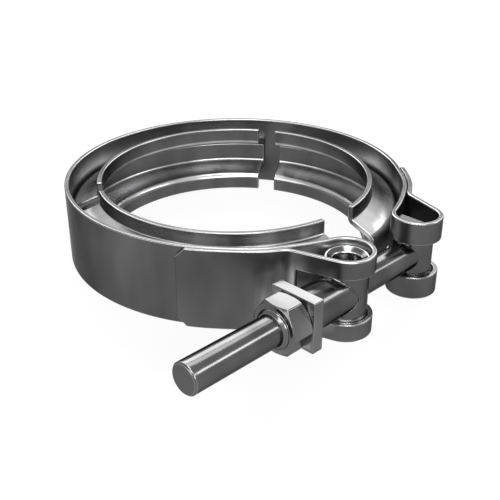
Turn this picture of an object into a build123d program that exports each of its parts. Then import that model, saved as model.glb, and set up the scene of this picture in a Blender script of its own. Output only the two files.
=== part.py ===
from build123d import *
from math import atan2, cos, degrees, radians, sin, sqrt, tan
import os

# Heavy-duty V-band clamp with a T-bolt, in millimetres. The ring's axis is Z and its centre plane is
# Z = 0. The bolt runs along X at the front (-Y), and the nut is at the bolt's -X end.

# Band: one strip of spring steel, folded back on itself at both ends to make two loops
band_width = 22.2
band_thickness = 1.35
ring_radius = 49.0              # outside of the band
lap_gap = 0.08                  # between the two layers where a folded end lies on the ring
joggle_start = 42.8             # the band steps outwards from this far along the ring from X = 0
joggle_end = 27.4               # to here
joggle_lift = 0.9               # by this much, and the end that lies on it steps with it
strand_leave = 26.5             # here it leaves the lifted circle for the loop
loop_start = 108.0              # loop angle where the strand becomes the loop
corner_start = -75.0            # loop angle where the tighter corner begins
corner_tightening = 0.2         # the corner's radius is smaller than the loop's by this
strand_heading = 72.5           # direction of the outer strand, from +X
kink_radius = 2.4               # bend where the outer strand lands on the ring
end_corner_cut = 2.5            # cut off the corners of both ends of the strip
weld_radius = 2.4
weld_height = 5.2               # the spot welds lie this far above and below the centre plane
weld_inset = 5.0                # from the end of a lap to its first spot welds, along the ring
weld_spacing = 7.0              # from those to the second ones

trunnion_x = 15.1               # the trunnion's loop, from the plane X = 0
trunnion_loop = 5.8             # its inside radius
trunnion_lap_end = 52.2         # its folded end stops this far along the ring from X = 0
trunnion_window = 12.2          # height of its window
t_bolt_x = 13.8                 # the same sizes of the T-bolt's loop, on the +X side
t_bolt_loop = 5.45
t_bolt_lap_end = 44.5
t_bolt_window = 9.4
window_start = 130.0            # loop angle where both windows begin
window_margin = 0.8             # strand left between a window and the kink

# Retainers: three V-shaped segments inside the band
retainer_thickness = 1.5
retainer_seat = 0.05            # between the band and a segment's back
groove_floor = 5.9              # width of the groove's floor
flank_angle = 20.0
groove_depth = 7.62             # from the lips' inner face to that floor
lip_height = 10.6               # top of the lips above the centre plane
lip_bend = 2.0                  # inside radius of the bend between flank and lip
web_bend = 0.6                  # inside radius of the bend between web and flank
lip_edge = 0.3                  # chamfer along the lips' edges
segment_gap = 5.5               # between two segments, at both gap angles
gap_angle = 30.0                # above +X and -X
opening_gap = 11.2              # between the two segments at the bolt

# T-bolt
bolt_offset = 5.55              # from the outside of the band to the bolt's axis
bolt_radius = 3.97              # 5/16 inch
bolt_length = 81.46             # from the centre of its loop to its free end
bolt_end_bevel = 0.4
head_clearance = 0.12           # between the head and its loop
head_flat = 0.9                 # the head's flat back lies this far past the loop's centre
head_height = 17.6
head_bevel = 0.3

# Trunnion
barrel_radius = 5.65
barrel_bore = 3.6
barrel_height = 18.8
countersink_radius = 5.05       # at both ends of the barrel
countersink_depth = 1.0
sleeve_radius = 5.5
bolt_clearance = 0.28           # radial, round the bolt in the trunnion and the washer
tube_bevel = 0.3
sleeve_length = 16.18           # from the barrel's axis to the washer

# Washer and nut
seat_clearance = 0.02           # between sleeve and washer, and between washer and nut
washer_thickness = 3.25
washer_size = 13.5
washer_edge = 0.35
nut_height = 6.15               # without the collar
nut_across_flats = 12.6
nut_chamfer_angle = 30.0
nut_chamfer_inset = 0.1         # the chamfer's inner circle lies this far inside the flats
nut_collar_radius = 5.0
nut_collar_height = 1.2
nut_collar_bevel = 0.3
thread_clearance = 0.05

os.makedirs("parts", exist_ok=True)

ring_mid = ring_radius - band_thickness / 2
lap_mid = ring_radius + lap_gap + band_thickness / 2
back_radius = ring_radius - band_thickness - retainer_seat
lip_radius = back_radius - retainer_thickness - groove_depth
bolt_y = -ring_radius - bolt_offset
sleeve_end = -trunnion_x - sleeve_length


def polar(radius, angle):
    return Vector(radius * cos(radians(angle)), radius * sin(radians(angle)))


def ring_angle(along):
    # angle of the point on the +X side that lies so far along the ring from X = 0
    return degrees(along / ring_radius) - 90


def corner_of(loop_x, bore):
    # centre and radius of the tighter corner between a loop and its outer strand
    centre = Vector(loop_x, bolt_y) + polar(corner_tightening, corner_start)
    return centre, bore + band_thickness / 2 - corner_tightening


def kink_of(loop_x, bore):
    # centre of the bend that lays the outer strand tangent to the lap
    centre, radius = corner_of(loop_x, bore)
    beside = centre + polar(radius + kink_radius, strand_heading - 90)
    ahead = polar(1, strand_heading)
    to_foot = -beside.dot(ahead)
    reach = lap_mid + joggle_lift + kink_radius
    chord = sqrt(reach**2 - beside.dot(beside) + to_foot**2)
    return beside + ahead * (to_foot - chord)


def draw_loop(loop_x, bore, first_angle, short_by=0.0):
    # loop, corner and straight outer strand, in that order
    loop_mid = bore + band_thickness / 2
    corner_centre, corner_radius = corner_of(loop_x, bore)
    strand_end = kink_of(loop_x, bore) + polar(kink_radius, strand_heading + 90)
    CenterArc((loop_x, bolt_y), loop_mid, first_angle, 360 + corner_start - first_angle)
    CenterArc(corner_centre, corner_radius, corner_start, strand_heading - 90 - corner_start)
    Line(
        corner_centre + polar(corner_radius, strand_heading - 90),
        strand_end - polar(short_by, strand_heading),
    )


def draw_joggle(radius):
    # the step of one layer, clockwise from the circle to the lifted circle
    first = ring_angle(joggle_start)
    last = ring_angle(joggle_end)
    Spline(
        polar(radius, first),
        polar(radius + joggle_lift, last),
        tangents=[polar(1, first - 90), polar(1, last - 90)],
    )


def draw_band_end(loop_x, bore, lap_end):
    # one end of the strip's centre line, on the +X side
    kink = kink_of(loop_x, bore)
    landing = degrees(atan2(kink.Y, kink.X))
    lifted = ring_angle(joggle_end)
    leaving = ring_angle(strand_leave)
    level = ring_angle(joggle_start)
    draw_joggle(ring_mid)
    CenterArc((0, 0), ring_mid + joggle_lift, lifted, leaving - lifted)
    Spline(
        polar(ring_mid + joggle_lift, leaving),
        Vector(loop_x, bolt_y) + polar(bore + band_thickness / 2, loop_start),
        tangents=[polar(1, leaving - 90), polar(1, loop_start + 90)],
    )
    draw_loop(loop_x, bore, loop_start)
    CenterArc(kink, kink_radius, strand_heading + 90, landing + 90 - strand_heading)
    CenterArc((0, 0), lap_mid + joggle_lift, landing, lifted - landing)
    draw_joggle(lap_mid)
    CenterArc((0, 0), lap_mid, level, ring_angle(lap_end) - level)


# Band
with BuildLine() as t_bolt_end:
    draw_band_end(t_bolt_x, t_bolt_loop, t_bolt_lap_end)
with BuildLine() as trunnion_end:
    draw_band_end(trunnion_x, trunnion_loop, trunnion_lap_end)
with BuildLine() as t_bolt_cut:
    draw_loop(t_bolt_x, t_bolt_loop, window_start, window_margin)
with BuildLine() as trunnion_cut:
    draw_loop(trunnion_x, trunnion_loop, window_start, window_margin)

lap_ends = [ring_angle(t_bolt_lap_end), -180 - ring_angle(trunnion_lap_end)]
weld_angles = [
    angle - side * degrees(inset / lap_mid)
    for angle, side in zip(lap_ends, (1, -1))
    for inset in (weld_inset, weld_inset + weld_spacing)
]

with BuildPart() as strap:
    with BuildSketch(Plane.XY.offset(-band_width / 2)):
        with BuildLine():
            CenterArc((0, 0), ring_mid, ring_angle(joggle_start), 180 - 2 * ring_angle(joggle_start))
            add(t_bolt_end.line)
            add(mirror(trunnion_end.line, about=Plane.YZ, mode=Mode.PRIVATE))
        trace(line_width=band_thickness)
    extrude(amount=band_width)
    for angle in lap_ends:
        for z in (-band_width / 2, band_width / 2):
            corner = polar(lap_mid, angle) + Vector(0, 0, z)
            chamfer(strap.edges().sort_by_distance(corner)[0], length=end_corner_cut)
    with BuildSketch(Plane.XY.offset(-t_bolt_window / 2)):
        trace(t_bolt_cut.line, line_width=2 * band_thickness)
    extrude(amount=t_bolt_window, mode=Mode.SUBTRACT)
    with BuildSketch(Plane.XY.offset(-trunnion_window / 2)):
        trace(
            mirror(trunnion_cut.line, about=Plane.YZ, mode=Mode.PRIVATE),
            line_width=2 * band_thickness,
        )
    extrude(amount=trunnion_window, mode=Mode.SUBTRACT)
    for angle in weld_angles:
        for z in (-weld_height, weld_height):
            outward = polar(1, angle)
            nugget = Plane(outward * ring_mid + Vector(0, 0, z), z_dir=outward)
            with BuildSketch(nugget):
                Circle(weld_radius)
            extrude(amount=band_thickness)
strap.part.label = "strap"
export_step(strap.part, "parts/strap.step")


# Retainers
def draw_retainer():
    # half of the formed sheet's middle line, from the centre plane to the lip
    half_sheet = retainer_thickness / 2
    floor_r = back_radius - half_sheet
    lip_r = lip_radius + half_sheet
    flank_rise = tan(radians(flank_angle))
    floor_z = groove_floor / 2 + half_sheet * (1 / cos(radians(flank_angle)) - flank_rise)
    lip_z = floor_z + (floor_r - lip_r) * flank_rise
    FilletPolyline(
        (lip_r, -lip_height),
        (lip_r, -lip_z),
        (floor_r, -floor_z),
        (floor_r, floor_z),
        (lip_r, lip_z),
        (lip_r, lip_height),
        radius=[
            lip_bend - half_sheet,
            web_bend + half_sheet,
            web_bend + half_sheet,
            lip_bend - half_sheet,
        ],
    )


def make_retainer(label, first_angle, first_gap, last_angle, last_gap):
    # a segment between two gaps, whose sides are parallel
    with BuildPart() as segment:
        with BuildSketch(Plane.XZ) as section:
            with BuildLine():
                draw_retainer()
            trace(line_width=retainer_thickness)
            rows = section.vertices().group_by(Axis.Y)
            chamfer(rows[0] + rows[-1], length=lip_edge)
        revolve(axis=Axis.Z, revolution_arc=360)
        first_plane = Plane(polar(first_gap / 2, first_angle + 90), z_dir=polar(1, first_angle + 90))
        last_plane = Plane(polar(last_gap / 2, last_angle - 90), z_dir=polar(1, last_angle - 90))
        split(bisect_by=first_plane, keep=Keep.TOP)
        split(bisect_by=last_plane, keep=Keep.TOP)
    segment.part.label = label
    export_step(segment.part, f"parts/{label}.step")
    return segment


retainer_back = make_retainer("retainer_back", gap_angle, segment_gap, 180 - gap_angle, segment_gap)
retainer_right = make_retainer("retainer_right", -90, opening_gap, gap_angle, segment_gap)
retainer_left = make_retainer("retainer_left", 180 - gap_angle, segment_gap, 270, opening_gap)


# T-bolt: a half-round head that turns in its loop, and the shank
with BuildPart() as t_bolt:
    with BuildSketch(Plane.XY.offset(-head_height / 2)):
        with Locations((t_bolt_x, bolt_y)):
            Circle(t_bolt_loop - head_clearance)
            with Locations((head_flat, 0)):
                Rectangle(
                    t_bolt_loop,
                    2 * t_bolt_loop,
                    align=(Align.MIN, Align.CENTER),
                    mode=Mode.SUBTRACT,
                )
    extrude(amount=head_height)
    chamfer(t_bolt.faces().filter_by(Axis.Z).edges(), length=head_bevel)
    with BuildSketch(Plane((t_bolt_x, bolt_y, 0), z_dir=(-1, 0, 0))):
        Circle(bolt_radius)
    extrude(amount=bolt_length)
    chamfer(t_bolt.faces().sort_by(Axis.X)[0].edges(), length=bolt_end_bevel)
t_bolt.part.label = "t_bolt"
export_step(t_bolt.part, "parts/t_bolt.step")


# Trunnion: an upright tube that turns in its loop, with a sleeve for the bolt
with BuildPart() as trunnion:
    with BuildSketch(Plane((-trunnion_x, bolt_y, -barrel_height / 2))):
        Circle(barrel_radius)
    extrude(amount=barrel_height)
    chamfer(trunnion.faces().filter_by(Axis.Z).edges(), length=tube_bevel)
    with BuildSketch(Plane((sleeve_end, bolt_y, 0), z_dir=(1, 0, 0))):
        Circle(sleeve_radius)
    extrude(amount=sleeve_length)
    chamfer(trunnion.faces().sort_by(Axis.X)[0].edges(), length=tube_bevel)
    with BuildSketch(Plane((-trunnion_x, bolt_y, 0), x_dir=(1, 0, 0), z_dir=(0, -1, 0))):
        with BuildLine():
            Polyline(
                (0, barrel_height / 2),
                (countersink_radius, barrel_height / 2),
                (barrel_bore, barrel_height / 2 - countersink_depth),
                (barrel_bore, countersink_depth - barrel_height / 2),
                (countersink_radius, -barrel_height / 2),
                (0, -barrel_height / 2),
                close=True,
            )
        make_face()
    revolve(axis=Axis((-trunnion_x, bolt_y, 0), (0, 0, 1)), mode=Mode.SUBTRACT)
    with BuildSketch(Plane((sleeve_end, bolt_y, 0), z_dir=(1, 0, 0))):
        Circle(bolt_radius + bolt_clearance)
    extrude(amount=sleeve_length + barrel_radius, mode=Mode.SUBTRACT)
trunnion.part.label = "trunnion"
export_step(trunnion.part, "parts/trunnion.step")


# Square washer
washer_back = sleeve_end - seat_clearance
with BuildPart() as washer:
    with BuildSketch(Plane((washer_back, bolt_y, 0), z_dir=(-1, 0, 0))):
        RectangleRounded(washer_size, washer_size, washer_edge)
        Circle(bolt_radius + bolt_clearance, mode=Mode.SUBTRACT)
    extrude(amount=washer_thickness)
    chamfer(washer.faces().filter_by(Axis.X).edges(), length=washer_edge / 2)
washer.part.label = "square_washer"
export_step(washer.part, "parts/square_washer.step")


# Nut: a hexagon chamfered on both faces, with a round collar in front
nut_back = washer_back - washer_thickness - seat_clearance
nut_front = nut_back - nut_height
corner_radius = nut_across_flats / 2 / cos(radians(30))
chamfer_radius = nut_across_flats / 2 - nut_chamfer_inset
chamfer_depth = (corner_radius - chamfer_radius) * tan(radians(nut_chamfer_angle))
with BuildPart() as nut:
    with BuildSketch(Plane((nut_back, bolt_y, 0), z_dir=(-1, 0, 0))):
        RegularPolygon(nut_across_flats / 2, 6, major_radius=False, rotation=30)
    extrude(amount=nut_height)
    with BuildSketch(Plane((0, bolt_y, 0), x_dir=(1, 0, 0), z_dir=(0, -1, 0))):
        with BuildLine():
            Polyline(
                (nut_back, 0),
                (nut_back, chamfer_radius),
                (nut_back - chamfer_depth, corner_radius),
                (nut_front + chamfer_depth, corner_radius),
                (nut_front, chamfer_radius),
                (nut_front, 0),
                close=True,
            )
        make_face()
    revolve(axis=Axis((0, bolt_y, 0), (1, 0, 0)), mode=Mode.INTERSECT)
    with BuildSketch(Plane((nut_front, bolt_y, 0), z_dir=(-1, 0, 0))):
        Circle(nut_collar_radius)
    extrude(amount=nut_collar_height)
    chamfer(nut.faces().sort_by(Axis.X)[0].edges(), length=nut_collar_bevel)
    with BuildSketch(Plane((nut_back, bolt_y, 0), z_dir=(-1, 0, 0))):
        Circle(bolt_radius + thread_clearance)
    extrude(amount=nut_height + nut_collar_height, mode=Mode.SUBTRACT)
nut.part.label = "nut"
export_step(nut.part, "parts/nut.step")
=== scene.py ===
import math

import bmesh
import bpy
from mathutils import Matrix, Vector
from mathutils.bvhtree import BVHTree


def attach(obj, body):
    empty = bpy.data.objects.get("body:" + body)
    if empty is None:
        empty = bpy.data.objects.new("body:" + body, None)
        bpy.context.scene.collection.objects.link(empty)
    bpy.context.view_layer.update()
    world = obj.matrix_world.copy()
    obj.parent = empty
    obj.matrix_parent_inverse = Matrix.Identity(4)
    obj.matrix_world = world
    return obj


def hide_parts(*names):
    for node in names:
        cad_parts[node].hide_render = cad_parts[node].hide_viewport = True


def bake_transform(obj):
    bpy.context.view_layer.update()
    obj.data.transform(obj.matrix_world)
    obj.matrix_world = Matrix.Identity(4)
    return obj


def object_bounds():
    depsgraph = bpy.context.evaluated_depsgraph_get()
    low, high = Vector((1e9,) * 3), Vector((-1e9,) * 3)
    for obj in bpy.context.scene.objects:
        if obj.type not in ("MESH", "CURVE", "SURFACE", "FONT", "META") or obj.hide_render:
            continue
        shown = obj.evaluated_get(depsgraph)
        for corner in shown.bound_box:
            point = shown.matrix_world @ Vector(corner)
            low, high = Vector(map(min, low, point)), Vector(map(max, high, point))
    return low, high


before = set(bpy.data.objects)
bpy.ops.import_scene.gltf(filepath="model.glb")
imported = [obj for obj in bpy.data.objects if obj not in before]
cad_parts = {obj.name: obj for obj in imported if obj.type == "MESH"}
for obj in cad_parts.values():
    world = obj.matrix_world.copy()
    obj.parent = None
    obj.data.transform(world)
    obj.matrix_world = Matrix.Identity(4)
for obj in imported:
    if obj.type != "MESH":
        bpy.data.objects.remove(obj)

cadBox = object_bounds()
mm = 0.001
dressed = []  # every finished piece, for measuring how sheltered its surface lies
print("frame loaded:", len(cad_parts), "nodes")


# Small helpers

def polar(radius, angle):
    turn = math.radians(angle)
    return Vector((radius * math.cos(turn), radius * math.sin(turn)))


def placed(name, mesh):
    piece = bpy.data.objects.new(name, mesh)
    bpy.context.scene.collection.objects.link(piece)
    return piece


def meshOf(work, name):
    mesh = bpy.data.meshes.new(name)
    work.to_mesh(mesh)
    work.free()
    return mesh


def addModifier(piece, kind, **settings):
    modifier = piece.modifiers.new(kind.title(), kind)
    for key, value in settings.items():
        setattr(modifier, key, value)
    return modifier


def bake(piece):
    # turns what the modifiers make into the piece's own mesh
    graph = bpy.context.evaluated_depsgraph_get()
    mesh = bpy.data.meshes.new_from_object(
        piece.evaluated_get(graph), preserve_all_data_layers=True, depsgraph=graph
    )
    piece.modifiers.clear()
    piece.data = mesh
    return piece


def roundEdges(piece, sizes):
    # the rounding takes the piece's second material; for most pieces that is a lighter steel, a painted
    # highlight along the edges
    addModifier(
        piece, "BEVEL", width=sizes["bevel"] * mm, segments=sizes["bevelParts"], limit_method="ANGLE",
        angle_limit=math.radians(sizes["bevelAngle"]), harden_normals=True, material=1,
    )


def joined(piece, *others):
    with bpy.context.temp_override(active_object=piece, selected_editable_objects=[piece, *others]):
        bpy.ops.object.join()
    return piece


def cutBy(piece, tool, operation):
    addModifier(piece, "BOOLEAN", object=tool, operation=operation, solver="EXACT")
    bake(piece)
    bpy.data.objects.remove(tool)


def finishPiece(piece, node):
    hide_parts(node)
    dressed.append(piece)
    print(piece.name, "faces:", len(piece.data.polygons))


def addNode(tree, kind, **settings):
    node = tree.nodes.new(kind)
    for key, value in settings.items():
        setattr(node, key, value)
    return node


def addSockets(tree, way, kind, *names):
    for name in names:
        tree.interface.new_socket(name, in_out=way, socket_type="NodeSocket" + kind)


class Wires:
    # short calls for the nodes of a tree; an input is fed by a number or by another node's output
    def __init__(self, tree):
        self.tree = tree

    def feed(self, socket, value):
        if isinstance(value, bpy.types.NodeSocket):
            self.tree.links.new(value, socket)
        else:
            socket.default_value = value

    def node(self, kind, inputs=(), **settings):
        made = addNode(self.tree, kind, **settings)
        for key, value in dict(inputs).items():
            self.feed(made.inputs[key], value)
        return made

    def math(self, operation, *values):
        return self.node("ShaderNodeMath", enumerate(values), operation=operation).outputs[0]

    def choose(self, test, no, yes):
        inputs = {"Switch": test, "False": no, "True": yes}
        return self.node("GeometryNodeSwitch", inputs, input_type="FLOAT").outputs[0]


# Materials

steelLook = {  # base is the steel's grey, sheltered a lighter grey painted in hemmed-in places as bounce light, bright the painted highlight on bends; stretch is how fine the grain is each way
    "strapSteel": {
        "base": 0.095, "sheltered": 0.4, "bright": 0.3,
        "rough": 0.31, "spread": 0.04, "depth": 0.004, "stretch": (60, 5000, 60),
    },
    "segmentSteel": {
        "base": 0.1, "sheltered": 0.72, "bright": 0.4,
        "rough": 0.28, "spread": 0.04, "depth": 0.001, "stretch": (60, 5000, 60),
    },
    "boltSteel": {
        "base": 0.1, "sheltered": 0.35, "bright": 0.3,
        "rough": 0.16, "spread": 0.05, "depth": 0.03, "stretch": (1500, 90, 90),
    },
    "trunnionSteel": {
        "base": 0.09, "sheltered": 0.38, "bright": 0.3,
        "rough": 0.19, "spread": 0.05, "depth": 0.03, "stretch": (90, 90, 1500),
    },
    "washerSteel": {
        "base": 0.152, "sheltered": 0.3, "bright": 0.3,
        "rough": 0.22, "spread": 0.05, "depth": 0.03, "stretch": (300, 300, 300),
    },
    "nutSteel": {
        "base": 0.155, "sheltered": 0.3, "bright": 0.3,
        "rough": 0.2, "spread": 0.05, "depth": 0.03, "stretch": (900, 160, 160),
    },
    # painted highlights: lighter steels that the rounded edges and corners take
    "edgeHighlightSteel": {
        "base": 0.22, "sheltered": 0.4, "bright": 0.22,
        "rough": 0.22, "spread": 0.04, "depth": 0.004, "stretch": (300, 300, 300),
    },
    "cornerHighlightSteel": {
        "base": 0.34, "sheltered": 0.5, "bright": 0.34,
        "rough": 0.2, "spread": 0.04, "depth": 0.004, "stretch": (300, 300, 300),
    },
    "softCornerHighlightSteel": {
        "base": 0.17, "sheltered": 0.3, "bright": 0.17,
        "rough": 0.2, "spread": 0.04, "depth": 0.004, "stretch": (300, 300, 300),
    },
}
steelGrain = {  # what all the steels share
    "grainDetail": 4.0,
    "patchScale": 70.0,
    "patchDetail": 2.0,
    "patchShape": (1.0, 0.4, 1.0),  # under 1 makes the patches longer that way
    "patchNoise": (0.25, 0.75),
    "patchShade": (0.64, 1.36),  # what the noise's two ends make of the tone
    "blueShare": 1.008,
    "bumpHeight": 0.0001,
    "glancingTint": (0.4, 0.4, 0.4, 1),
}
# painted bounce light: points that other pieces hem in get the lighter sheltered grey
shelter = {
    "attribute": "shelter",
    "reach": 25.0,  # how far a neighbour still counts
    "from": 0.2,  # share of rays that hit, where the sheltered tone begins
    "to": 0.65,  # and where it is full
    "rays": 16,
    "cone": 35.0,
    "start": 0.4,  # the rays begin this far off the surface
    "outward": 0.5,  # how much a face has to look away from the ring's axis to be an outer one
    "outerShare": 0.6,
    "ringShare": 0.3,
    "ringEnds": (-46.0, -36.0),  # along Y, from the left loop's full share to the ring's
}
bendHighlight = {  # a painted highlight on the bends, by the normal's part along the ring's axis, which says how far a bend has turned
    "attribute": "bendHighlight",
    "from": 0.1,
    "full": 0.35,
    "last": 0.8,
    "to": 0.935,
}


def makeSteelSurface():
    # rolled or turned grain along one direction, with soft patches over it; hemmed-in points get a lighter
    # grey as painted bounce light, and bends get a painted highlight
    group = bpy.data.node_groups.new("steelSurface", "ShaderNodeTree")
    addSockets(group, "INPUT", "Vector", "Position", "Stretch")
    addSockets(group, "INPUT", "Float", "Base", "Sheltered", "Shelter", "Bright", "BendHighlight")
    addSockets(group, "INPUT", "Float", "Rough", "Spread", "Depth")
    addSockets(group, "OUTPUT", "Color", "Color")
    addSockets(group, "OUTPUT", "Float", "Roughness")
    addSockets(group, "OUTPUT", "Vector", "Normal")
    wires = Wires(group)
    given = wires.node("NodeGroupInput").outputs

    def noise(shape, scale, detail):
        place = {0: given["Position"], 1: shape}
        stretched = wires.node("ShaderNodeVectorMath", place, operation="MULTIPLY").outputs[0]
        inputs = {"Vector": stretched, "Scale": scale, "Detail": detail}
        return wires.node("ShaderNodeTexNoise", inputs).outputs["Fac"]

    grain = noise(given["Stretch"], 1.0, steelGrain["grainDetail"])
    patches = noise(steelGrain["patchShape"], steelGrain["patchScale"], steelGrain["patchDetail"])
    centred = wires.math("SUBTRACT", wires.math("ADD", grain, patches), 1.0)
    roughness = wires.math("MULTIPLY_ADD", centred, given["Spread"], given["Rough"])

    shade = wires.node("ShaderNodeMapRange", {
        "Value": patches,
        "From Min": steelGrain["patchNoise"][0], "From Max": steelGrain["patchNoise"][1],
        "To Min": steelGrain["patchShade"][0], "To Max": steelGrain["patchShade"][1],
    }).outputs["Result"]
    # painted bounce light: a lighter grey where the surface is hemmed in
    level = wires.node("ShaderNodeMapRange", {
        "Value": given["Shelter"],
        "From Min": shelter["from"], "From Max": shelter["to"],
        "To Min": given["Base"], "To Max": given["Sheltered"],
    }, interpolation_type="SMOOTHSTEP").outputs["Result"]
    # painted highlight: the bends are lifted towards the bright grey
    highlighted = wires.node("ShaderNodeMapRange", {
        "Value": given["BendHighlight"], "To Min": level, "To Max": given["Bright"],
    }).outputs["Result"]
    tone = wires.math("MULTIPLY", shade, highlighted)
    blue = wires.math("MULTIPLY", tone, steelGrain["blueShare"])
    color = wires.node("ShaderNodeCombineColor", {"Red": tone, "Green": tone, "Blue": blue})

    bump = wires.node("ShaderNodeBump", {
        "Distance": steelGrain["bumpHeight"], "Strength": given["Depth"], "Height": grain,
    })
    wires.node("NodeGroupOutput", {
        "Color": color.outputs["Color"], "Roughness": roughness, "Normal": bump.outputs["Normal"],
    })
    return group


def makeSteel(name, group, uvMap=None):
    material = bpy.data.materials.new(name)
    material.use_nodes = True
    surface = material.node_tree.nodes["Principled BSDF"]
    surface.inputs["Metallic"].default_value = 1.0
    surface.inputs["Specular Tint"].default_value = steelGrain["glancingTint"]
    wires = Wires(material.node_tree)
    given = {key.title(): value for key, value in steelLook[name].items()}
    if uvMap:
        given["Position"] = wires.node("ShaderNodeUVMap", uv_map=uvMap).outputs["UV"]
    else:
        given["Position"] = wires.node("ShaderNodeTexCoord").outputs["Object"]
    for socket, mask in (("Shelter", shelter), ("BendHighlight", bendHighlight)):
        given[socket] = wires.node("ShaderNodeAttribute", attribute_name=mask["attribute"]).outputs["Fac"]
    detail = wires.node("ShaderNodeGroup", given, node_tree=group).outputs
    for output, socket in (("Color", "Base Color"), ("Roughness", "Roughness"), ("Normal", "Normal")):
        wires.feed(surface.inputs[socket], detail[output])
    return material


def dress(piece, look, corner="cornerHighlightSteel"):
    # the second material goes on the rounded edges; the corner steels are lighter, a painted highlight
    piece.data.materials.append(steel[look])
    piece.data.materials.append(steel[corner])
    return piece


steelSurface = makeSteelSurface()
uvMaps = {"strapSteel": "alongStrip", "segmentSteel": "alongSegment"}
steel = {name: makeSteel(name, steelSurface, uvMaps.get(name)) for name in steelLook}
print("materials made:", len(steel))


# Strap: one strip, folded back into a loop at both ends

strip = {
    "width": 22.2,
    "thickness": 1.35,
    "ringRadius": 49.0,  # outside of the ring
    "lapGap": 0.08,  # between the ring and the end that lies on it
    "joggleStart": 42.8,  # the strip steps outwards from here, along the ring from X = 0
    "joggleEnd": 27.4,  # to here
    "joggleLift": 0.9,
    "strandLeave": 26.5,  # here it leaves the ring for the loop
    "loopStart": 108.0,  # angle round the loop's centre
    "cornerStart": -75.0,  # there a slightly tighter bend begins
    "cornerTightening": 0.2,
    "strandHeading": 72.5,  # direction of the outer strand
    "kinkRadius": 5.0,  # bend where the outer strand lands on the ring
    "windowMargin": 0.8,  # metal between a window and that bend
    "endCut": 2.5,  # corners cut off both ends
    "boltOffset": 5.55,  # from the outside of the ring to the bolt's axis
    "bevel": 0.36,
    "bevelParts": 3,
    "bevelAngle": 40.0,
    "highlightLean": 0.1,  # faces that look less than this along the ring's axis keep the strip's steel, without the painted highlight of the edge steel
    "ringStep": 1.5,  # degrees between two columns on the ring
    "bendStep": 5.0,
    "kinkStep": 6.0,
    "stepParts": 16,
    "strandParts": 4,
    "leastColumn": 0.4,
    "hingeAngle": 30.0,
    "hingeRadius": 48.325,
    "hingeReach": 2.75,  # half the length that bends when the clamp opens
    "ends": {
        "Right": {
            "side": 1, "arm": "right_arm", "loopX": 13.8, "bore": 5.45,
            "lapEnd": 44.5, "window": 9.4, "windowStart": 122.0,
        },
        "Left": {
            "side": -1, "arm": "left_arm", "loopX": 15.1, "bore": 5.8,
            "lapEnd": 52.2, "window": 12.2, "windowStart": 130.0,
        },
    },
}


def arc(centre, radius, first, last, step):
    parts = max(2, round(abs(last - first) / step))
    return [centre + polar(radius, first + (last - first) * i / parts) for i in range(parts + 1)]


def between(start, startTurn, end, endTurn, parts):
    # a smooth stretch that leaves and arrives in the given directions
    reach = (end - start).length
    points = []
    for i in range(parts + 1):
        t = i / parts
        point = start * (2 * t**3 - 3 * t**2 + 1) + end * (3 * t**2 - 2 * t**3)
        point += polar(reach, startTurn) * (t**3 - 2 * t**2 + t) + polar(reach, endTurn) * (t**3 - t**2)
        points.append(point)
    return points


def ringAngle(along):
    return math.degrees(along / strip["ringRadius"]) - 90


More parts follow.
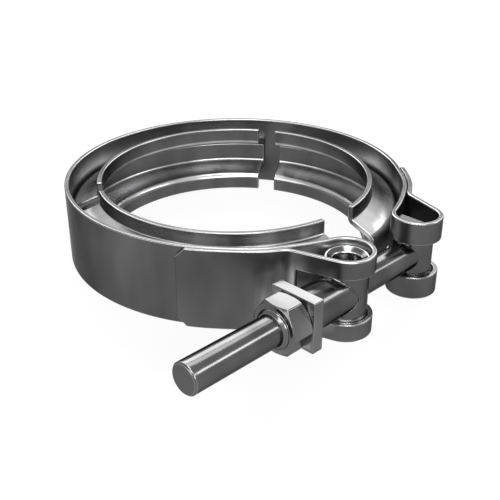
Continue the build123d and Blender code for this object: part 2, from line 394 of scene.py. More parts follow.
def stripHalf(end):
    # one half's columns on the +X side, from the back of the ring to the strip's end, each with a
    # flag that says whether the window is open between it and the column before it
    middle = Vector((0, 0))
    half = strip["thickness"] / 2
    ringMid = strip["ringRadius"] - half
    lapMid = strip["ringRadius"] + strip["lapGap"] + half
    ringLifted, lapLifted = ringMid + strip["joggleLift"], lapMid + strip["joggleLift"]
    ringStep, bendStep, stepParts = strip["ringStep"], strip["bendStep"], strip["stepParts"]
    level, lifted = ringAngle(strip["joggleStart"]), ringAngle(strip["joggleEnd"])
    leaving = ringAngle(strip["strandLeave"])

    loop = Vector((end["loopX"], -strip["ringRadius"] - strip["boltOffset"]))
    loopMid = end["bore"] + half
    loopStart, windowStart = strip["loopStart"], end["windowStart"]
    corner = loop + polar(strip["cornerTightening"], strip["cornerStart"])
    cornerMid = loopMid - strip["cornerTightening"]

    # the kink's arc touches the straight outer strand and the circle of the lifted lap
    heading = strip["strandHeading"]
    ahead = polar(1, heading)
    beside = corner + polar(cornerMid + strip["kinkRadius"], heading - 90)
    toFoot = -beside.dot(ahead)
    reach = lapLifted + strip["kinkRadius"]
    kink = beside + ahead * (toFoot - math.sqrt(reach**2 - beside.dot(beside) + toFoot**2))
    landing = math.degrees(math.atan2(kink.y, kink.x))
    strandStart = corner + polar(cornerMid, heading - 90)
    strandEnd = kink + polar(strip["kinkRadius"], heading + 90)
    windowEnd = strandEnd - ahead * strip["windowMargin"]
    strandParts = strip["strandParts"]
    strand = [strandStart.lerp(windowEnd, i / strandParts) for i in range(strandParts + 1)]

    loopEntry = loop + polar(loopMid, loopStart)
    stepOut = between(polar(ringMid, level), level - 90, polar(ringLifted, lifted), lifted - 90, stepParts)
    toLoop = between(polar(ringLifted, leaving), leaving - 90, loopEntry, loopStart + 90, stepParts)
    stepIn = between(polar(lapLifted, lifted), lifted + 90, polar(lapMid, level), level + 90, stepParts)
    stretches = [
        (arc(middle, ringMid, 90, level, ringStep), False),
        (stepOut, False),
        (arc(middle, ringLifted, lifted, leaving, ringStep), False),
        (toLoop, False),
        (arc(loop, loopMid, loopStart, windowStart, bendStep), False),
        (arc(loop, loopMid, windowStart, 360 + strip["cornerStart"], bendStep), True),
        (arc(corner, cornerMid, strip["cornerStart"], heading - 90, bendStep), True),
        (strand, True),
        ([windowEnd, strandEnd], False),
        (arc(kink, strip["kinkRadius"], heading + 90, landing + 180, strip["kinkStep"]), False),
        (arc(middle, lapLifted, landing, lifted, ringStep), False),
        (stepIn, False),
        (arc(middle, lapMid, level, ringAngle(end["lapEnd"]), ringStep), False),
    ]
    columns = [(stretches[0][0][0], False)]
    for points, isOpen in stretches:
        columns += [(point, isOpen) for point in points[1:]]

    # one column where the cut corners begin, and none between it and the end
    tip = columns.pop()
    last, left = tip, strip["endCut"]
    while (columns[-1][0] - last[0]).length < left:
        left -= (columns[-1][0] - last[0]).length
        last = columns.pop()
    cutStart = last[0] + (columns[-1][0] - last[0]).normalized() * left
    if (columns[-1][0] - cutStart).length < strip["leastColumn"]:
        columns.pop()
    return columns + [(cutStart, False), tip]


def halfSpans(end):
    # neighbouring columns on the end's own side: (first, second, whether the window is open, end)
    columns = [(Vector((p.x * end["side"], p.y)), isOpen) for p, isOpen in stripHalf(end)]
    return [(a, b, isOpen, end) for (a, _), (b, isOpen) in zip(columns, columns[1:])]


def makeStripSheet():
    # the middle sheet of the whole strip, from the left lap's end round the back to the right one's
    ends = strip["ends"]
    leftWay = [(b, a, isOpen, end) for a, b, isOpen, end in reversed(halfSpans(ends["Left"]))]
    spans = leftWay + halfSpans(ends["Right"])
    edge = strip["width"] / 2
    cut = edge - strip["endCut"]
    windows = sorted({end["window"] / 2 for end in ends.values()})
    rows = [-edge, -cut] + [-h for h in reversed(windows)] + windows + [cut, edge]
    distances = [0.0]
    for a, b, _, _ in spans:
        distances.append(distances[-1] + (b - a).length)
    sheet = bmesh.new()
    uv = sheet.loops.layers.uv.new("alongStrip")
    places = [spans[0][0]] + [b for _, b, _, _ in spans]
    grid = [[sheet.verts.new((p.x * mm, p.y * mm, z * mm)) for z in rows] for p in places]
    for i, (_, _, isOpen, end) in enumerate(spans):
        first, last = i == 0, i == len(spans) - 1
        opening = end["window"] / 2 if isOpen else 0.0
        for j in range(len(rows) - 1):
            if max(abs(rows[j]), abs(rows[j + 1])) <= opening:
                continue
            corners = [(i, j), (i + 1, j), (i + 1, j + 1), (i, j + 1)]
            if (first or last) and j in (0, len(rows) - 2):
                tip = (0 if first else i + 1, 0 if j == 0 else len(rows) - 1)
                corners.remove(tip)  # the cut corner
            face = sheet.faces.new([grid[a][b] for a, b in corners])
            face.smooth = True
            for loopCorner, (a, b) in zip(face.loops, corners):
                loopCorner[uv].uv = (distances[a] * mm, rows[b] * mm)
    bmesh.ops.delete(sheet, geom=[v for v in sheet.verts if not v.link_faces], context="VERTS")
    bmesh.ops.recalc_face_normals(sheet, faces=sheet.faces[:])
    return meshOf(sheet, "stripSheet")


def keepHalf(whole, name, side):
    # one half of the finished strip, cut at the back where it has a column, with its shading kept
    mesh = whole.data.copy()
    mesh.name = name
    normals = mesh.attributes.new("keptNormal", "FLOAT_VECTOR", "CORNER")
    normals.data.foreach_set("vector", [c for n in whole.data.corner_normals for c in n.vector])
    work = bmesh.new()
    work.from_mesh(mesh)
    away = [f for f in work.faces if f.calc_center_median().x * side < 0]
    bmesh.ops.delete(work, geom=away, context="FACES")
    bmesh.ops.contextual_create(work, geom=[e for e in work.edges if e.is_boundary])
    work.to_mesh(mesh)
    work.free()
    kept = mesh.attributes["keptNormal"].data
    values = [0.0] * (3 * len(kept))
    kept.foreach_get("vector", values)
    mesh.normals_split_custom_set([values[i:i + 3] for i in range(0, len(values), 3)])
    mesh.attributes.remove(mesh.attributes["keptNormal"])
    return placed(name, mesh)


def makeStrap():
    # finished in one piece, then halved, one half for each side of the ring
    whole = dress(placed("wholeStrip", makeStripSheet()), "strapSteel", "edgeHighlightSteel")
    addModifier(whole, "SOLIDIFY", thickness=strip["thickness"] * mm, offset=0.0, use_even_offset=True)
    roundEdges(whole, strip)
    bake(whole)
    for face in whole.data.polygons:
        if abs(face.normal.z) < strip["highlightLean"]:
            face.material_index = 0  # only the edges along the strip get the painted highlight
    for name, end in strip["ends"].items():
        piece = keepHalf(whole, "strap" + name, end["side"])
        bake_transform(piece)
        finishPiece(piece, "strap")
    bpy.data.objects.remove(whole)


makeStrap()


# Retainers: one rolled V section, bent round three parts of the ring

retainers = {
    "section": {  # the inputs of the tree below
        "Sheet Thickness": 1.5,
        "Back Radius": 47.6,
        "Groove Floor": 5.9,
        "Groove Depth": 7.62,
        "Flank Angle": 20.0,
        "Lip Height": 10.6,
        "Lip Bend": 2.0,
        "Web Bend": 0.9,
        "Bend Parts": 10,
        "Columns": 96,
    },
    "bevel": 0.3,
    "bevelParts": 3,
    "bevelAngle": 50.0,
    "pieces": {  # the arc gives the values of arcInputs
        "retainerBack": {"node": "retainer_back", "body": "back_arc", "arc": (30.0, 5.5, 150.0, 5.5)},
        "retainerRight": {"node": "retainer_right", "body": "right_arm", "arc": (-90.0, 11.2, 30.0, 5.5)},
        "retainerLeft": {"node": "retainer_left", "body": "left_arm", "arc": (150.0, 5.5, 270.0, 11.2)},
    },
}
arcInputs = ("First Angle", "First Gap", "Last Angle", "Last Gap")
sectionCorners = 6


def makeSegmentTree():
    tree = bpy.data.node_groups.new("rolledSegment", "GeometryNodeTree")
    for name, value in retainers["section"].items():
        addSockets(tree, "INPUT", "Int" if isinstance(value, int) else "Float", name)
    addSockets(tree, "INPUT", "Float", *arcInputs)
    addSockets(tree, "INPUT", "Material", "Steel")
    addSockets(tree, "OUTPUT", "Geometry", "Geometry")
    wires = Wires(tree)
    given = wires.node("NodeGroupInput").outputs
    position = wires.node("GeometryNodeInputPosition").outputs[0]

    # the corners of the section's middle line, from one lip to the other
    halfSheet = wires.math("MULTIPLY", given["Sheet Thickness"], 0.5)
    slope = wires.math("RADIANS", given["Flank Angle"])
    rise = wires.math("TANGENT", slope)
    floorRadius = wires.math("SUBTRACT", given["Back Radius"], halfSheet)
    grooveFloor = wires.math("SUBTRACT", given["Back Radius"], given["Sheet Thickness"])
    lipRadius = wires.math("ADD", wires.math("SUBTRACT", grooveFloor, given["Groove Depth"]), halfSheet)
    widen = wires.math("SUBTRACT", wires.math("DIVIDE", 1.0, wires.math("COSINE", slope)), rise)
    halfFloor = wires.math("MULTIPLY", given["Groove Floor"], 0.5)
    floorHeight = wires.math("ADD", halfFloor, wires.math("MULTIPLY", halfSheet, widen))
    flankRise = wires.math("MULTIPLY", wires.math("SUBTRACT", floorRadius, lipRadius), rise)
    lipRoot = wires.math("ADD", floorHeight, flankRise)
    index = wires.node("GeometryNodeInputIndex").outputs[0]
    order = wires.math("SUBTRACT", index, (sectionCorners - 1) / 2)
    step = wires.math("ABSOLUTE", order)
    onFloor = wires.math("LESS_THAN", step, 1.0)
    atRoot = wires.math("LESS_THAN", step, 2.0)
    lipHeight = wires.choose(atRoot, given["Lip Height"], lipRoot)
    cornerRadius = wires.choose(onFloor, lipRadius, floorRadius)
    height = wires.choose(onFloor, lipHeight, floorHeight)
    cornerHeight = wires.math("MULTIPLY", wires.math("SIGN", order), height)
    corner = wires.node("ShaderNodeCombineXYZ", {"X": cornerRadius, "Y": cornerHeight}).outputs[0]
    dots = wires.node("GeometryNodeMeshLine", {"Count": sectionCorners}).outputs[0]
    shaped = wires.node("GeometryNodeSetPosition", {"Geometry": dots, "Position": corner}).outputs[0]
    line = wires.node("GeometryNodeMeshToCurve", {"Mesh": shaped}).outputs[0]
    lipBend = wires.math("SUBTRACT", given["Lip Bend"], halfSheet)
    webBend = wires.math("ADD", given["Web Bend"], halfSheet)
    section = wires.node("GeometryNodeFilletCurve", {
        "Curve": line, "Radius": wires.choose(onFloor, lipBend, webBend), "Count": given["Bend Parts"],
    }, mode="POLY").outputs[0]
    length = wires.node("GeometryNodeSplineParameter").outputs["Length"]

    # a flat grid, each row laid on a point of the section and each column turned round the axis
    measured = wires.node("GeometryNodeAttributeDomainSize", {"Geometry": section}, component="CURVE")
    size = measured.outputs["Point Count"]
    grid = wires.node("GeometryNodeMeshGrid", {"Vertices X": given["Columns"], "Vertices Y": size})
    spot = wires.node("ShaderNodeSeparateXYZ", {"Vector": position}).outputs
    share = wires.math("ADD", spot["X"], 0.5)
    rows = wires.math("SUBTRACT", size, 1.0)
    row = wires.math("ROUND", wires.math("MULTIPLY", wires.math("ADD", spot["Y"], 0.5), rows))

    def onSection(value, kind):
        inputs = {"Geometry": section, "Value": value, "Index": row}
        return wires.node("GeometryNodeSampleIndex", inputs, data_type=kind, domain="POINT").outputs[0]

    point = wires.node("ShaderNodeSeparateXYZ", {"Vector": onSection(position, "FLOAT_VECTOR")}).outputs
    across = onSection(length, "FLOAT")

    def edgeAngle(angle, gap, sign):
        # the ends of a segment are parallel to the middle of its gap
        halfGap = wires.math("MULTIPLY", gap, 0.5 * sign)
        turn = wires.math("ARCSINE", wires.math("DIVIDE", halfGap, point["X"]))
        return wires.math("ADD", wires.math("RADIANS", angle), turn)

    first = edgeAngle(given["First Angle"], given["First Gap"], 1)
    last = edgeAngle(given["Last Angle"], given["Last Gap"], -1)
    angle = wires.math("MULTIPLY_ADD", wires.math("SUBTRACT", last, first), share, first)
    bent = wires.node("ShaderNodeCombineXYZ", {
        "X": wires.math("MULTIPLY", point["X"], wires.math("COSINE", angle)),
        "Y": wires.math("MULTIPLY", point["X"], wires.math("SINE", angle)),
        "Z": point["Y"],
    }).outputs[0]
    place = wires.node("ShaderNodeVectorMath", {0: bent, "Scale": mm}, operation="SCALE").outputs[0]
    flat = wires.node("ShaderNodeCombineXYZ", {
        "X": wires.math("MULTIPLY", wires.math("MULTIPLY", angle, given["Back Radius"]), mm),
        "Y": wires.math("MULTIPLY", across, mm),
    }).outputs[0]
    mapped = wires.node("GeometryNodeStoreNamedAttribute", {
        "Geometry": grid.outputs["Mesh"], "Name": uvMaps["segmentSteel"], "Value": flat,
    }, data_type="FLOAT2", domain="CORNER").outputs[0]
    rolled = wires.node("GeometryNodeSetPosition", {"Geometry": mapped, "Position": place}).outputs[0]
    real = wires.node("GeometryNodeRealizeInstances", {"Geometry": rolled}).outputs[0]
    finish = {"Geometry": real, "Material": given["Steel"]}
    finished = wires.node("GeometryNodeSetMaterial", finish).outputs[0]
    wires.node("NodeGroupOutput", {"Geometry": finished})
    return tree


def setInput(modifier, name, value):
    sockets = modifier.node_group.interface.items_tree
    socket = next(s for s in sockets if s.name == name and s.in_out == "INPUT")
    modifier[socket.identifier] = value


def makeRetainers():
    tree = makeSegmentTree()
    thickness = retainers["section"]["Sheet Thickness"] * mm
    for name, part in retainers["pieces"].items():
        piece = placed(name, bpy.data.meshes.new(name))
        rolled = addModifier(piece, "NODES", node_group=tree)
        for key, value in {**retainers["section"], **dict(zip(arcInputs, part["arc"]))}.items():
            setInput(rolled, key, value)
        setInput(rolled, "Steel", steel["segmentSteel"])
        bake(piece)
        piece.data.materials.clear()
        dress(piece, "segmentSteel", "edgeHighlightSteel")
        for face in piece.data.polygons:
            face.use_smooth = True
            face.material_index = 0
        addModifier(piece, "SOLIDIFY", thickness=thickness, offset=0.0, use_even_offset=True)
        roundEdges(piece, retainers)
        bake(piece)
        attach(piece, part["body"])
        finishPiece(piece, part["node"])


makeRetainers()


# Turned and forged pieces, built from their sections

hardware = {  # what these pieces share
    "boltY": -54.55,
    "turnParts": 192,
    "cornerParts": 4,
    "cornerShare": 0.45,  # of a straight stretch, the most that a corner's rounding takes
    "edgeRound": 0.12,
    "leastCosine": 0.3,  # keeps the next side of a prism from running off
    "mergeDistance": 1e-7,
    "flatWeight": 50,
}


def prismRadius(angle, inner, sides, softness):
    # distance from the axis to the side of a prism with slightly rounded corners
    turn = 360 / sides
    off = (angle + turn / 2) % turn - turn / 2
    near = inner / math.cos(math.radians(off))
    beside = inner / max(math.cos(math.radians(turn - abs(off))), hardware["leastCosine"])
    return (near + beside - math.sqrt((near - beside)**2 + softness**2)) / 2


def nearCorner(angle, sides, band):
    turn = 360 / sides
    return abs(angle % turn - turn / 2) < band


def rounded(corners, size, closed=True, fill=()):
    # a section with a short curve at each corner, as (point, whether a corner's curve goes on from it);
    # fill gives the number of parts of a long straight stretch, by the corner it starts from
    points = [Vector(p) for p in corners]
    count, parts, most = len(points), hardware["cornerParts"], hardware["cornerShare"]
    runs = []
    for i, point in enumerate(points):
        if not closed and i in (0, count - 1):
            runs.append([point])
            continue
        before, after = points[i - 1] - point, points[(i + 1) % count] - point
        reach = min(size, most * before.length, most * after.length)
        start, end = point + before.normalized() * reach, point + after.normalized() * reach
        shares = [j / parts for j in range(parts + 1)]
        runs.append([start * (1 - t)**2 + point * (2 * t * (1 - t)) + end * t**2 for t in shares])
    result = []
    for i, run in enumerate(runs):
        result += [(point, True) for point in run[:-1]] + [(run[-1], False)]
        filled = dict(fill).get(i, 1)
        result += [(run[-1].lerp(runs[(i + 1) % count][0], j / filled), False) for j in range(1, filled)]
    return result


def skin(work, rings, closedRound=True, closedRing=True):
    # faces between neighbouring rings of vertices: (face, number of its ring, number in the ring)
    count, size = len(rings), len(rings[0])
    made = []
    for i in range(count if closedRound else count - 1):
        here, there = rings[i], rings[(i + 1) % count]
        for j in range(size if closedRing else size - 1):
            k = (j + 1) % size
            face = work.faces.new([here[j], there[j], there[k], here[k]])
            face.smooth = True
            made.append((face, i, j))
    return made


def turnOnLathe(name, section, place, closed=True, parts=hardware["turnParts"], corner=None):
    # the section may change with the angle, and place(along, radius, angle) gives a point's place;
    # the section's rounded corners, and the sides' where corner says so, take the second material, a
    # lighter steel that paints a highlight
    work = bmesh.new()
    angles = [360 * i / parts for i in range(parts)]
    sections = [section(angle) for angle in angles]
    rings = []
    for angle, points in zip(angles, sections):
        rings.append([work.verts.new(place(p.x, p.y, angle)) for p, _ in points])
    for face, i, j in skin(work, rings, closedRing=closed):
        here, onCorner = sections[i][j]
        there = sections[i][(j + 1) % len(sections[i])][0]
        if onCorner or (corner and corner(360 * (i + 0.5) / parts, min(here.y, there.y))):
            face.material_index = 1
    bmesh.ops.remove_doubles(work, verts=work.verts, dist=hardware["mergeDistance"])
    bmesh.ops.recalc_face_normals(work, faces=work.faces[:])
    return placed(name, meshOf(work, name))


def alongX(along, radius, angle):
    flat = polar(radius, angle)
    return (along * mm, (hardware["boltY"] + flat.x) * mm, flat.y * mm)


def evenShading(piece):
    # flat faces keep their own direction, and the rounding takes the turn
    weight = hardware["flatWeight"]
    addModifier(piece, "WEIGHTED_NORMAL", mode="FACE_AREA", weight=weight, keep_sharp=True)
    return bake(piece)


bolt = {
    "radius": 3.97, "loopX": 13.8, "endX": -67.66, "endBevel": 0.4, "shankParts": 40,
    "headRadius": 5.33, "headFlat": 0.9, "headHeight": 17.6, "headLevels": 14, "headParts": 72,
    "bevel": 0.35, "bevelParts": 4, "bevelAngle": 40.0,  # of the head
}


def makeBolt():
    radius, endX, bevel = bolt["radius"], bolt["endX"], bolt["endBevel"]
    points = [
        (bolt["loopX"], 0), (bolt["loopX"], radius), (endX + bevel, radius),
        (endX, radius - bevel), (endX, 0),
    ]
    shank = rounded(points, hardware["edgeRound"], closed=False, fill={1: bolt["shankParts"]})
    piece = turnOnLathe("tBolt", lambda angle: shank, alongX, closed=False)
    dress(piece, "boltSteel", "softCornerHighlightSteel")

    # a half-round head with a flat back
    half = math.degrees(math.acos(bolt["headFlat"] / bolt["headRadius"]))
    parts = bolt["headParts"]
    outline = [polar(bolt["headRadius"], half + (360 - 2 * half) * i / parts) for i in range(parts + 1)]
    outline = [((bolt["loopX"] + p.x) * mm, (hardware["boltY"] + p.y) * mm) for p in outline]
    work = bmesh.new()
    levels = []
    for i in range(bolt["headLevels"] + 1):
        z = bolt["headHeight"] * (i / bolt["headLevels"] - 0.5) * mm
        levels.append([work.verts.new((x, y, z)) for x, y in outline])
    skin(work, levels, closedRound=False)
    for level in (levels[0], levels[-1]):
        work.faces.new(level).smooth = True
    bmesh.ops.recalc_face_normals(work, faces=work.faces[:])
    head = dress(placed("boltHead", meshOf(work, "boltHead")), "boltSteel")
    roundEdges(head, bolt)
    return joined(evenShading(piece), bake(head))


trunnion = {
    "x": -15.1, "outer": 5.65, "bore": 3.6, "height": 18.8, "sinkRadius": 5.05, "sinkDepth": 1.0,
    "sleeve": 5.5, "sleeveEnd": -31.28, "hole": 4.25, "bevel": 0.3, "round": 0.3,
    "outerParts": 14, "boreParts": 10, "sleeveParts": 12,
    "sleeveSink": 0.2,  # least square of the sleeve's reach into the barrel, in square mm
    "drillOver": 2.0,  # how far the drill passes the sleeve's end
    "sharpAngle": 32.0,
    "fillet": 0.3, "filletAround": 96, "filletParts": 10,
}


def aroundBarrel(along, radius, angle):
    flat = polar(radius, angle)
    return ((trunnion["x"] + flat.x) * mm, (hardware["boltY"] + flat.y) * mm, along * mm)


def makeTrunnion():
    # an upright barrel with a sleeve on its side, both drilled for the bolt
    half = trunnion["height"] / 2
    outer, bore, bevel = trunnion["outer"], trunnion["bore"], trunnion["bevel"]
    sink, depth = trunnion["sinkRadius"], trunnion["sinkDepth"]
    shell = [
        (half, sink), (half, outer - bevel), (half - bevel, outer), (bevel - half, outer),
        (-half, outer - bevel), (-half, sink), (depth - half, bore), (half - depth, bore),
    ]
    barrel = rounded(shell, trunnion["round"], fill={2: trunnion["outerParts"], 6: trunnion["boreParts"]})
    piece = dress(turnOnLathe("trunnionBody", lambda angle: barrel, aroundBarrel), "trunnionSteel")
    wall = (outer + bore) / 2
    sleeve, sleeveEnd, hole = trunnion["sleeve"], trunnion["sleeveEnd"], trunnion["hole"]

    def sleeveSection(angle):
        across = sleeve * math.cos(math.radians(angle))
        inside = trunnion["x"] - math.sqrt(max(wall**2 - across**2, trunnion["sleeveSink"]))
        points = [
            (inside, hole), (inside, sleeve), (sleeveEnd + bevel, sleeve),
            (sleeveEnd, sleeve - bevel), (sleeveEnd, hole),
        ]
        return rounded(points, hardware["edgeRound"], fill={1: trunnion["sleeveParts"]})

    cutBy(piece, dress(turnOnLathe("sleeve", sleeveSection, alongX), "trunnionSteel"), "UNION")
    drillEnd = sleeveEnd - trunnion["drillOver"]
    drillSection = [(Vector(p), False) for p in ((0, 0), (0, hole), (drillEnd, hole), (drillEnd, 0))]
    drill = turnOnLathe("drill", lambda angle: drillSection, alongX, closed=False)
    cutBy(piece, dress(drill, "trunnionSteel"), "DIFFERENCE")
    piece.data.set_sharp_from_angle(angle=math.radians(trunnion["sharpAngle"]))
    return joined(evenShading(piece), makeFillet())


def makeFillet():
    # the thin run of metal where the sleeve meets the barrel
    around, parts = trunnion["filletAround"], trunnion["filletParts"]
    line = []
    for i in range(around):
        spot = polar(trunnion["sleeve"], 360 * i / around)
        depth = math.sqrt(trunnion["outer"]**2 - spot.x**2)
        line.append(Vector((trunnion["x"] - depth, hardware["boltY"] + spot.x, spot.y)))
    work = bmesh.new()
    rings = []
    for i, point in enumerate(line):
        ahead = (line[(i + 1) % around] - line[i - 1]).normalized()
        first = ahead.cross(Vector((1, 0, 0))).normalized()
        second = ahead.cross(first)
        turns = [polar(trunnion["fillet"], 360 * k / parts) for k in range(parts)]
        rings.append([work.verts.new((point + first * a.x + second * a.y) * mm) for a in turns])
    skin(work, rings)
    bmesh.ops.recalc_face_normals(work, faces=work.faces[:])
    return dress(placed("fillet", meshOf(work, "fillet")), "trunnionSteel", "trunnionSteel")


washer = {
    "back": -31.3, "thickness": 3.25, "size": 13.5, "hole": 4.25, "round": 0.24,
    "cornerSoftness": 0.25, "cornerBand": 1.0, "cornerReach": 0.6, "turnParts": 240,
}


def makeWasher():
    back, hole = washer["back"], washer["hole"]
    front = back - washer["thickness"]
    cornerStart = washer["cornerReach"] * washer["size"]

    def section(angle):
        side = prismRadius(angle, washer["size"] / 2, 4, washer["cornerSoftness"])
        return rounded([(back, hole), (back, side), (front, side), (front, hole)], washer["round"])

    def corner(angle, radius):
        return radius > cornerStart and nearCorner(angle, 4, washer["cornerBand"])

    piece = turnOnLathe("squareWasher", section, alongX, parts=washer["turnParts"], corner=corner)
    return evenShading(dress(piece, "washerSteel", "softCornerHighlightSteel"))


nut = {
    "back": -34.57, "height": 6.15, "flats": 12.6, "chamferInset": 0.15, "chamferAngle": 38.0,
    "collar": 5.0, "collarHeight": 1.2, "collarBevel": 0.75, "bore": 4.02, "round": 0.2,
    "cornerSoftness": 0.12, "cornerBand": 2.0, "turnParts": 240,
}


def makeNut():
    inner, bore, back = nut["flats"] / 2, nut["bore"], nut["back"]
    circle = inner - nut["chamferInset"]
    slope = math.tan(math.radians(nut["chamferAngle"]))
    front = back - nut["height"]
    collar, bevel = nut["collar"], nut["collarBevel"]
    collarEnd = front - nut["collarHeight"]

    def section(angle):
        side = prismRadius(angle - 90, inner, 6, nut["cornerSoftness"])
        depth = (side - circle) * slope
        points = [
            (back, bore), (back, circle), (back - depth, side), (front + depth, side), (front, circle),
            (front, collar), (collarEnd + bevel, collar), (collarEnd, collar - bevel), (collarEnd, bore),
        ]
        return rounded(points, nut["round"])

    def corner(angle, radius):
        return radius > inner and nearCorner(angle - 90, 6, nut["cornerBand"])

    piece = turnOnLathe("hexNut", section, alongX, parts=nut["turnParts"], corner=corner)
    return evenShading(dress(piece, "nutSteel", "softCornerHighlightSteel"))


for make, body, node, slot in (
    (makeBolt, "t_bolt", "t_bolt", "bolt_steel"),
    (makeTrunnion, "trunnion", "trunnion", "trunnion_steel"),
    (makeWasher, "trunnion", "square_washer", "washer_steel"),
    (makeNut, "nut", "nut", "nut_steel"),
):
    piece = make()
    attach(piece, body)
    finishPiece(piece, node)


# How sheltered each point lies, for the painted bounce light in the steels' tone, and where the bends get
# a painted highlight

def coneDirections(count, spread):
    # evenly spread round the normal
    turn = math.pi * (3 - math.sqrt(5))
    spots = []
    for i in range(count):
        flat = math.sin(math.radians(spread)) * math.sqrt((i + 0.5) / count)
        spots.append((flat * math.cos(i * turn), flat * math.sin(i * turn), math.sqrt(1 - flat * flat)))
    return spots


def shelterShare(piece, vertex):
    # the retainers' backs and the strap's ring get a smaller share of the painted bounce light, so they
    # stay darker than the strap's left loop
    if piece.name in retainers["pieces"]:
        radial = vertex.normal.xy.dot(vertex.co.xy)
        return shelter["outerShare"] if radial > shelter["outward"] * vertex.co.xy.length else 1.0
    if piece.name == "strapRight":
        return shelter["ringShare"]
    if piece.name == "strapLeft":
        near, far = (y * mm for y in shelter["ringEnds"])
        away = max(0.0, min(1.0, (vertex.co.y - near) / (far - near)))
        return 1.0 + (shelter["ringShare"] - 1.0) * away
    return 1.0


def solidOf(pieces):
    points, faces = [], []
    for piece in pieces:
        first = len(points)
        points += [v.co for v in piece.data.vertices]
        faces += [[first + k for k in face.vertices] for face in piece.data.polygons]
    return BVHTree.FromPolygons(points, faces)


def storeValues(piece, name, values):
    layer = piece.data.attributes.new(name, "FLOAT", "POINT")
    layer.data.foreach_set("value", values)


def measureShelter(pieces):
    everything = solidOf(pieces)
    allButBolt = solidOf([piece for piece in pieces if piece.name != "tBolt"])
    ways = coneDirections(shelter["rays"], shelter["cone"])
    reach = shelter["reach"] * mm
    for piece in pieces:
        # the bolt's head and shank run through each other, so it isn't measured against itself
        solid = allButBolt if piece.name == "tBolt" else everything
        values = []
        for vertex in piece.data.vertices:
            up = vertex.normal
            side = up.orthogonal().normalized()
            across = up.cross(side)
            start = vertex.co + up * shelter["start"] * mm
            rays = [solid.ray_cast(start, side * a + across * b + up * c, reach) for a, b, c in ways]
            hits = sum(place is not None for place, _, _, _ in rays)
            values.append(hits / len(ways) * shelterShare(piece, vertex))
        storeValues(piece, shelter["attribute"], values)


def paintBendHighlights(piece):
    # a painted highlight where the metal bends, strongest where the normal has turned part way along the
    # ring's axis
    values = []
    for vertex in piece.data.vertices:
        lean = abs(vertex.normal.z)
        rise = (lean - bendHighlight["from"]) / (bendHighlight["full"] - bendHighlight["from"])
        fall = (bendHighlight["to"] - lean) / (bendHighlight["to"] - bendHighlight["last"])
        values.append(max(0.0, min(1.0, rise, fall)))
    storeValues(piece, bendHighlight["attribute"], values)


measureShelter(dressed)
for name in retainers["pieces"]:
    paintBendHighlights(bpy.data.objects[name])
print("shelter measured on", len(dressed), "pieces")


# Camera, floor, lamps and white surroundings

view = {
    "position": (-0.15567, -0.16199, 0.10216),
    "turn": (62.485, 0.0, -45.0),
    "lens": 59.32,
    "sensor": 36.0,
    "nearest": 0.01,
}
floor = {"reach": 1.6, "pale": 0.12, "rough": 0.9, "glow": 0.93}
surroundings = {"light": 0.35, "shown": 1.0}
lampDistance = 1.2
lamps = {  # degrees round the ring's axis from +X, and above the floor; a card only shows in the metal
    "rear": {"azimuth": 40, "elevation": 38, "wide": 62, "tall": 22, "glow": 7.4, "card": False},
    "rearHigh": {"azimuth": 46, "elevation": 62, "wide": 50, "tall": 18, "glow": 4.0, "card": True},
    "rearLeft": {"azimuth": 79, "elevation": 33, "wide": 18, "tall": 22, "glow": 5.0, "card": True},
    "overhead": {"azimuth": 226, "elevation": 84, "wide": 22, "tall": 22, "glow": 14.0, "card": True},
    "right": {"azimuth": 311, "elevation": 31, "wide": 24, "tall": 8, "glow": 10.0, "card": True},
    "front": {"azimuth": 240, "elevation": 21, "wide": 28, "tall": 16, "glow": 11.0, "card": False},
    "left": {"azimuth": 178, "elevation": 20, "wide": 42, "tall": 16, "glow": 4.0, "card": True},
    "leftHigh": {"azimuth": 208, "elevation": 40, "wide": 30, "tall": 18, "glow": 8.0, "card": True},
}


def makeCamera():
    camera = placed("camera", bpy.data.cameras.new("camera"))
    camera.location = view["position"]
    camera.rotation_euler = [math.radians(a) for a in view["turn"]]
    camera.data.lens = view["lens"]
    camera.data.sensor_width = view["sensor"]
    camera.data.clip_start = view["nearest"]
    bpy.context.scene.camera = camera


def whiteRays(wires):
    # 1 where the camera, a reflection or a refraction looks
    path = wires.node("ShaderNodeLightPath").outputs
    seen = wires.math("MAXIMUM", path["Is Camera Ray"], path["Is Glossy Ray"])
    return wires.math("MAXIMUM", seen, path["Is Transmission Ray"])


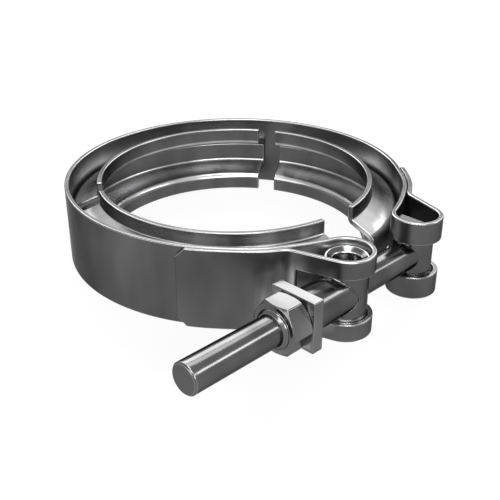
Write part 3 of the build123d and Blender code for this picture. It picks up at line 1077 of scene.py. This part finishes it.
def makeFloor():
    reach = floor["reach"]
    height = cadBox[0][2]
    mesh = bpy.data.meshes.new("floor")
    corners = [(x * reach, y * reach, height) for x, y in ((-1, -1), (1, -1), (1, 1), (-1, 1))]
    mesh.from_pydata(corners, [], [(0, 1, 2, 3)])
    sheet = placed("floor", mesh)
    material = bpy.data.materials.new("paleFloor")
    material.use_nodes = True
    wires = Wires(material.node_tree)
    surface = material.node_tree.nodes["Principled BSDF"]
    surface.inputs["Base Color"].default_value = (floor["pale"],) * 3 + (1,)
    surface.inputs["Roughness"].default_value = floor["rough"]
    surface.inputs["Specular IOR Level"].default_value = 0.0
    surface.inputs["Emission Color"].default_value = (1, 1, 1, 1)
    glow = wires.math("MULTIPLY", whiteRays(wires), floor["glow"])
    wires.feed(surface.inputs["Emission Strength"], glow)
    mesh.materials.append(material)


def makeWorld():
    world = bpy.data.worlds.new("studio")
    bpy.context.scene.world = world
    world.use_nodes = True
    wires = Wires(world.node_tree)
    shown = world.node_tree.nodes["Background"]
    shown.inputs["Color"].default_value = (1, 1, 1, 1)
    levels = {"Value": whiteRays(wires), "To Min": surroundings["light"], "To Max": surroundings["shown"]}
    wires.feed(shown.inputs["Strength"], wires.node("ShaderNodeMapRange", levels).outputs["Result"])


def makeLamps():
    for name, lamp in lamps.items():
        light = bpy.data.lights.new(name, "AREA")
        light.shape = "RECTANGLE"
        light.size = 2 * lampDistance * math.tan(math.radians(lamp["wide"] / 2))
        light.size_y = 2 * lampDistance * math.tan(math.radians(lamp["tall"] / 2))
        light.energy = lamp["glow"] * math.pi * light.size * light.size_y
        panel = placed(name, light)
        upward = polar(1, lamp["elevation"])
        flat = polar(upward.x, lamp["azimuth"])
        way = Vector((flat.x, flat.y, upward.y))
        panel.location = way * lampDistance
        panel.rotation_euler = way.to_track_quat("Z", "Y").to_euler()
        panel.visible_camera = False
        panel.visible_diffuse = not lamp["card"]


makeCamera()
makeFloor()
makeWorld()
makeLamps()
bpy.context.scene.view_settings.view_transform = "Standard"
print("camera, floor and lamps made")
